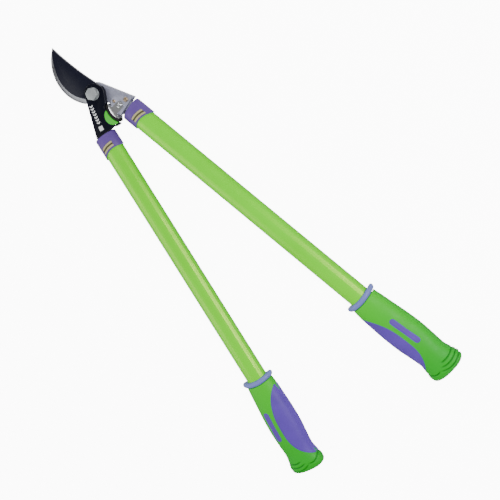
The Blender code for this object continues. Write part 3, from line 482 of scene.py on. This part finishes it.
def section(along):
    """Half width, half height and outward shift of the grip at a distance along the handle."""
    share = (along - GRIP_START) / GRIP_LENGTH
    kept = min(share, BUTT_FROM)
    half_width, half_height, shift = (smooth_value(kept, column) for column in (1, 2, 3))
    if share > BUTT_FROM:
        t = min(1.0, (share - BUTT_FROM) / (1.0 - BUTT_FROM))
        half_width *= (1.0 - t ** BUTT_POWERS[0]) ** (1.0 / BUTT_POWERS[0])
        half_height *= (1.0 - t ** BUTT_POWERS[1]) ** (1.0 / BUTT_POWERS[1])
    return half_width, half_height * GRIP_HALF_HEIGHT, shift


def power(value, exponent):
    """A power that keeps its value's sign."""
    return math.copysign(abs(value) ** exponent, value)


def on_grip(along, turn, offset=0.0):
    """A point on the grip's skin; turn 0 is outwards and a quarter turn is up."""
    half_width, half_height, shift = section(along)
    out = shift + (half_width + offset) * power(math.cos(turn), 2.0 / GRIP_POWER)
    up = (half_height + offset) * power(math.sin(turn), 2.0 / GRIP_POWER)
    return out, up


# crest along the handle, radius, middle outwards, the end nearer the axis, which way it runs from there
GROOVES = (
    (599.0, 32.0, 14.5, 5.0, 1.0), (605.4, 32.0, 14.5, 0.5, 1.0), (611.4, 32.0, 14.5, -4.0, 1.0),
    (606.0, 14.0, -9.0, -3.0, -1.0),
)
GROOVE_HALF = 1.4
GROOVE_DEPTH = 0.9
GROOVE_TAPER = 4.0
GRIP_BORE_HALF = (16.9, 10.4)
GRIP_BORE_DEPTH = 6.0
GRIP_COLUMNS = 112
BARREL_FROM, BUTT_RINGS_FROM = 1.5, 120.0
BARREL_RINGS, BUTT_RINGS = 54, 62
MOUTH_INSETS = (0.5, 0.12)   # how far the first two rings are drawn in, to round the mouth
MOUTH_STEP = 0.4
BUTT_GAPS = (0.8, 0.45, 0.2, 0.07)


def groove_depth(along, out):
    """How deep the curved grooves near the butt are here, 0 to 1."""
    deepest = 0.0
    for crest, radius, middle, end, way in GROOVES:
        if along < crest - radius:
            continue
        away = abs(math.dist((along, out), (crest - radius, middle)) - radius)
        taper = min(1.0, max(0.0, (out - end) * way / GROOVE_TAPER))
        deepest = max(deepest, taper * max(0.0, 1.0 - (away / GROOVE_HALF) ** 2) ** 1.5)
    return deepest


def ring_places():
    """Distances along the handle of the grip's rings: even on the barrel, closer over the grooves."""
    barrel_step = (BUTT_RINGS_FROM - BARREL_FROM) / BARREL_RINGS
    butt_step = (GRIP_LENGTH - BUTT_GAPS[0] - BUTT_RINGS_FROM) / BUTT_RINGS
    distances = [0.0, MOUTH_STEP]
    distances += [BARREL_FROM + barrel_step * i for i in range(BARREL_RINGS + 1)]
    distances += [BUTT_RINGS_FROM + butt_step * i for i in range(1, BUTT_RINGS + 1)]
    distances += [GRIP_LENGTH - gap for gap in BUTT_GAPS[1:]]
    return [GRIP_START + distance for distance in distances]


def bridge(made, layers):
    """Faces between each ring of points and the next."""
    for low, high in zip(layers, layers[1:]):
        for i in range(len(low)):
            j = (i + 1) % len(low)
            made.faces.new((low[i], low[j], high[j], high[i]))


def grip_body(side):
    """One grip's skin, with its grooves, a rounded butt and the mouth of its bore."""
    turns = [2.0 * math.pi * i / GRIP_COLUMNS for i in range(GRIP_COLUMNS)]
    made = bmesh.new()
    layer = made.verts.layers.float.new("groove")
    skin = []
    for number, along in enumerate(ring_places()):
        inset = MOUTH_INSETS[number] if number < len(MOUTH_INSETS) else 0.0
        ring = []
        for turn in turns:
            out, up = on_grip(along, turn, -inset)
            depth = groove_depth(along, out)
            if depth > 0.0:
                out, up = on_grip(along, turn, -inset - GROOVE_DEPTH * depth)
            vert = made.verts.new(place(side, bowed_grip(along, out), out, up))
            vert[layer] = depth
            ring.append(vert)
        skin.append(ring)
    bore = []
    for along in (GRIP_START + GRIP_BORE_DEPTH, GRIP_START):
        inner = [(GRIP_BORE_HALF[0] * math.cos(turn), GRIP_BORE_HALF[1] * math.sin(turn)) for turn in turns]
        bore.append([made.verts.new(place(side, bowed_grip(along, out), out, up)) for out, up in inner])
    layers = bore + skin
    bridge(made, layers)
    made.faces.new(layers[0])
    made.faces.new(layers[-1])
    return link(f"{SIDE_NAME[side]}_grip_body", made, 50.0)


# where the pad's edge runs furthest out, its reach to front and back, and how sharply it falls away
PAD_CREST = (GRIP_START + 81.0, 3.2)
PAD_REACH = (67.5, 48.0)
PAD_POWERS = (2.5, 3.0)
PAD_DEPTH = 24.0
PAD_SAMPLES = 44
INLAY_LEAN = 0.24
INLAY_LIFT = 0.3
INLAY_SINK = 0.9
INLAY_ROOT = 2.4
SKIN_PER_RADIAN = 18.0       # millimetres of skin for one radian round the grip


def pad_edge_out(along):
    """How far out the pad's edge is, before it leans with height."""
    back = along > PAD_CREST[0]
    share = abs(along - PAD_CREST[0]) / PAD_REACH[back]
    return PAD_CREST[1] - PAD_DEPTH * share ** PAD_POWERS[back]


def pad_edge_turn(side, along, face):
    """The turn at which the pad's edge crosses a section, on the upper or lower face."""
    low, high = 0.0, math.pi
    for _ in range(26):
        turn = (low + high) / 2.0
        out, up = on_grip(along, turn)
        if out + side * INLAY_LEAN * face * up > pad_edge_out(along):
            low = turn
        else:
            high = turn
    return low if face > 0.0 else 2.0 * math.pi - low


def pad_limits():
    """The distances along the handle between which the pad's edge lies on the grip."""
    first, last = int(GRIP_START * 20), int((GRIP_START + 0.9 * GRIP_LENGTH) * 20)
    alongs = [tick / 20.0 for tick in range(first, last)]
    inside = [along for along in alongs if pad_edge_out(along) > on_grip(along, math.pi)[0]]
    return inside[0], inside[-1]


def towards(point, centre, share):
    """A point moved a share of the way to the centre."""
    return point[0] + (centre[0] - point[0]) * share, point[1] + (centre[1] - point[1]) * share


def inlay(name, outline, centre, surface, rim_width):
    """A soft inlay: rings that shrink from its outline to its centre, its rim rolled under."""
    loops = []
    for inward in (0.0, 0.12, 0.3, 0.55, 0.85, 1.2, 1.7, 2.4):
        loop = [towards(point, centre, min(inward / math.dist(point, centre), 0.9)) for point in outline]
        t = min(1.0, inward / rim_width)
        sink = (INLAY_LIFT + INLAY_SINK) * (1.0 - math.sqrt(1.0 - (1.0 - t) ** 2))
        loops.append((loop, INLAY_LIFT - sink, 1.0 - t))
    flat = loops[-1][0]
    for share in (0.86, 0.7, 0.54, 0.4, 0.26, 0.13):
        loops.append(([towards(point, centre, 1.0 - share) for point in flat], INLAY_LIFT, 0.0))
    made = bmesh.new()
    # the rim value masks the painted shade in the inlay's seam
    layer = made.verts.layers.float.new("rim")
    layers = []
    for loop, offset, rim in loops:
        verts = [made.verts.new(surface(point, offset)) for point in loop]
        for vert in verts:
            vert[layer] = rim
        layers.append(verts)
    under = [made.verts.new(surface(point, -INLAY_ROOT)) for point in outline]
    bridge(made, [under] + layers)
    middle = made.verts.new(surface(centre, INLAY_LIFT))
    below = made.verts.new(surface(centre, -INLAY_ROOT))
    for i in range(len(outline)):
        j = (i + 1) % len(outline)
        made.faces.new((layers[-1][i], layers[-1][j], middle))
        made.faces.new((under[j], under[i], below))
    return link(name, made, 60.0)


def grip_pad(side):
    """The large pad on the inner side of a grip."""
    first, last = pad_limits()
    steps = [0.5 - 0.5 * math.cos(math.pi * i / PAD_SAMPLES) for i in range(1, PAD_SAMPLES)]
    alongs = [first + (last - first) * step for step in steps]
    top = [(along, pad_edge_turn(side, along, 1.0) * SKIN_PER_RADIAN) for along in alongs]
    bottom = [(along, pad_edge_turn(side, along, -1.0) * SKIN_PER_RADIAN) for along in alongs[::-1]]
    innermost = math.pi * SKIN_PER_RADIAN
    outline = [(first, innermost)] + top + [(last, innermost)] + bottom

    def surface(point, offset):
        out, up = on_grip(point[0], point[1] / SKIN_PER_RADIAN, offset)
        return place(side, bowed_grip(point[0], out), out, up)

    centre = ((first + last) / 2.0, innermost)
    return inlay(f"{SIDE_NAME[side]}_grip_pad_soft", outline, centre, surface, 1.5)


BAR_PLACE = (GRIP_START + 68.0, 12.0)
BAR_SIZE = (49.0, 9.0)
BAR_TURN = math.radians(4.2)


def grip_bar(side, face):
    """The round-ended bar let into a grip's upper or lower face."""
    radius = BAR_SIZE[1] / 2.0
    half = BAR_SIZE[0] / 2.0 - radius
    outline = []
    for end in (1.0, -1.0):
        for i in range(17):
            turn = -math.pi / 2.0 + math.pi * i / 16.0 + (0.0 if end > 0.0 else math.pi)
            outline.append((end * half + radius * math.cos(turn), radius * math.sin(turn)))
    spread = []
    for here, there in zip(outline, outline[1:] + outline[:1]):
        pieces = 10 if math.dist(here, there) > 10.0 else 1
        spread += [towards(here, there, k / pieces) for k in range(pieces)]

    def surface(point, offset):
        along = BAR_PLACE[0] + point[0] * math.cos(BAR_TURN) - point[1] * math.sin(BAR_TURN)
        out = BAR_PLACE[1] - side * INLAY_LEAN * face * GRIP_HALF_HEIGHT
        out += point[0] * math.sin(BAR_TURN) + point[1] * math.cos(BAR_TURN)
        half_width, half_height, shift = section(along)
        share = abs((out - shift) / (half_width + offset))
        up = (half_height + offset) * (1.0 - share ** GRIP_POWER) ** (1.0 / GRIP_POWER)
        return place(side, along, out, face * up)

    word = "top" if face > 0.0 else "bottom"
    return inlay(f"{SIDE_NAME[side]}_grip_bar_{word}_soft", spread, (0.0, 0.0), surface, 1.2)


def collar_ring(side):
    """The bowed ring in front of a grip, fully rounded."""
    columns = 96
    radius = COLLAR_LENGTH / 2.0
    profile = []
    for angle in range(-80, 81, 10):
        drop = radius * (1.0 - math.cos(math.radians(angle)))
        step = radius * (1.0 + math.sin(math.radians(angle)))
        profile.append((step, (COLLAR_HALF[0] - drop, COLLAR_HALF[1] - drop)))
    profile += [(COLLAR_LENGTH, COLLAR_BORE_HALF), (0.0, COLLAR_BORE_HALF)]
    made = bmesh.new()
    rings = []
    for step, half in profile:
        ring = []
        for i in range(columns):
            turn = 2.0 * math.pi * i / columns
            out, up = half[0] * math.cos(turn), half[1] * math.sin(turn)
            ring.append(made.verts.new(place(side, bowed(COLLAR_START + step, out), out, up)))
        rings.append(ring)
    bridge(made, rings + rings[:1])
    return link(f"{SIDE_NAME[side]}_collar_ring", made)


def stand_in(piece, node, slot, side):
    """Puts a piece in the place of a CAD node on one of the handles."""
    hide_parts(node)
    dress(piece, slot, BODY[side])


for side, word in SIDE_NAME.items():
    stand_in(grip_body(side), f"{word}_grip", "green_grip", side)
    stand_in(grip_pad(side), f"{word}_grip_pad", "soft_purple", side)
    stand_in(collar_ring(side), f"{word}_collar", "lilac", side)
    stand_in(grip_bar(side, 1.0), f"{word}_grip_bar_top", "soft_purple", side)
    stand_in(grip_bar(side, -1.0), f"{word}_grip_bar_bottom", "soft_purple", side)


# ---- generic marks on the black arm -----------------------------------------------------
ARM_TOP_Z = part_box("blade_arm")[1].z
MARK_START, MARK_END = (-15.2, -8.0), (-24.5, -36.0)
MARK_SINK, MARK_RISE = 0.02, 0.05
CHEVRONS = 7
CHEVRON_STEP = 4.1
SQUARE_AT = 31.5
# outlines, across and along the row of marks
CHEVRON = ((-2.6, 0.0), (0.0, 1.5), (2.6, 0.0), (2.6, 2.0), (0.0, 3.5), (-2.6, 2.0))
SQUARE = ((-3.2, 0.0), (3.2, 0.0), (3.2, 6.4), (-3.2, 6.4))
mark_look = simple("printed_mark", MARK, 0.45)


def row_point(along, across):
    """A point on the arm, along its row of marks and across it."""
    dx, dy = MARK_END[0] - MARK_START[0], MARK_END[1] - MARK_START[1]
    length = math.hypot(dx, dy)
    return (MARK_START[0] + dx * along / length - dy * across / length,
            MARK_START[1] + dy * along / length + dx * across / length)


def arm_mark(name, outline, start):
    """A thin printed shape on the arm's upper face."""
    points = [row_point(start + along, across) for across, along in outline]
    made = bmesh.new()
    low = [made.verts.new((x * M, y * M, ARM_TOP_Z - MARK_SINK * M)) for x, y in points]
    high = [made.verts.new((x * M, y * M, ARM_TOP_Z + MARK_RISE * M)) for x, y in points]
    made.faces.new(low[::-1])
    made.faces.new(high)
    bridge(made, [low, high])
    mark = link(name, made)
    mark.data.materials.append(mark_look)
    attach(mark, "blade_side")


for number in range(CHEVRONS):
    arm_mark(f"arm_mark_{number + 1}", CHEVRON, number * CHEVRON_STEP)
arm_mark("arm_mark_square", SQUARE, SQUARE_AT)


# ---- floor, light, camera ---------------------------------------------------------------
FLOOR_GLOW = 10.0            # lifts the paper to near white where the camera sees it
FLOOR_HALF = 4.0
LIGHTS_AIM = (0.0, -0.27, 0.0)
CAMERA_AT = (0.4542, -0.3227, 1.0415)
CAMERA_HEADING, CAMERA_TILT, CAMERA_ROLL = 41.04, -0.72, -22.89


def stage_floor():
    made = bmesh.new()
    corners = ((-FLOOR_HALF, -FLOOR_HALF), (FLOOR_HALF, -FLOOR_HALF), (FLOOR_HALF, FLOOR_HALF),
               (-FLOOR_HALF, FLOOR_HALF))
    made.faces.new([made.verts.new((x, y, 0.0)) for x, y in corners])
    floor = link("floor", made)
    look = Look("floor_paper", (0.92, 0.92, 0.92), 0.8, Specular_IOR_Level=0.0)
    seen = look.node("ShaderNodeLightPath").outputs["Is Camera Ray"]
    glow = look.node("ShaderNodeEmission")
    look.set(glow, "Strength", look.math("MULTIPLY", seen, FLOOR_GLOW))
    both = look.node("ShaderNodeAddShader")
    look.tree.links.new(look.shader.outputs["BSDF"], both.inputs[0])
    look.tree.links.new(glow.outputs["Emission"], both.inputs[1])
    look.tree.links.new(both.outputs[0], look.tree.nodes["Material Output"].inputs["Surface"])
    floor.data.materials.append(look.finish())


def area_light(name, position, size, power_watts):
    """A soft white light aimed at the middle of the tool, its place and size in metres."""
    data = bpy.data.lights.new(name, "AREA")
    data.shape = "RECTANGLE"
    data.size, data.size_y = size
    data.energy = power_watts
    lamp = bpy.data.objects.new(name, data)
    bpy.context.scene.collection.objects.link(lamp)
    lamp.location = position
    lamp.rotation_euler = (Vector(LIGHTS_AIM) - Vector(position)).to_track_quat("-Z", "Y").to_euler()


stage_floor()
area_light("key_light", (0.80, -0.62, 1.35), (0.7, 0.7), 26.0)
area_light("left_light", (-1.5, 0.1, 1.1), (1.2, 1.0), 14.0)
area_light("back_light", (0.2, 1.5, 1.0), (1.4, 0.8), 12.0)
world = bpy.data.worlds.new("studio")
bpy.context.scene.world = world
world.use_nodes = True
world.node_tree.nodes["Background"].inputs["Color"].default_value = (1.0, 1.0, 1.0, 1.0)
world.node_tree.nodes["Background"].inputs["Strength"].default_value = 0.28

camera_data = bpy.data.cameras.new("camera")
camera_data.sensor_width = 36.0
camera_data.lens = 57.6
camera = bpy.data.objects.new("camera", camera_data)
bpy.context.scene.collection.objects.link(camera)
turn = Matrix.Identity(3)
for angle, axis in ((CAMERA_HEADING, "Z"), (CAMERA_TILT, "X"), (CAMERA_ROLL, "Y")):
    turn = turn @ Matrix.Rotation(math.radians(angle), 3, axis)
camera.matrix_world = Matrix.Translation(CAMERA_AT) @ turn.transposed().to_4x4()
bpy.context.scene.camera = camera
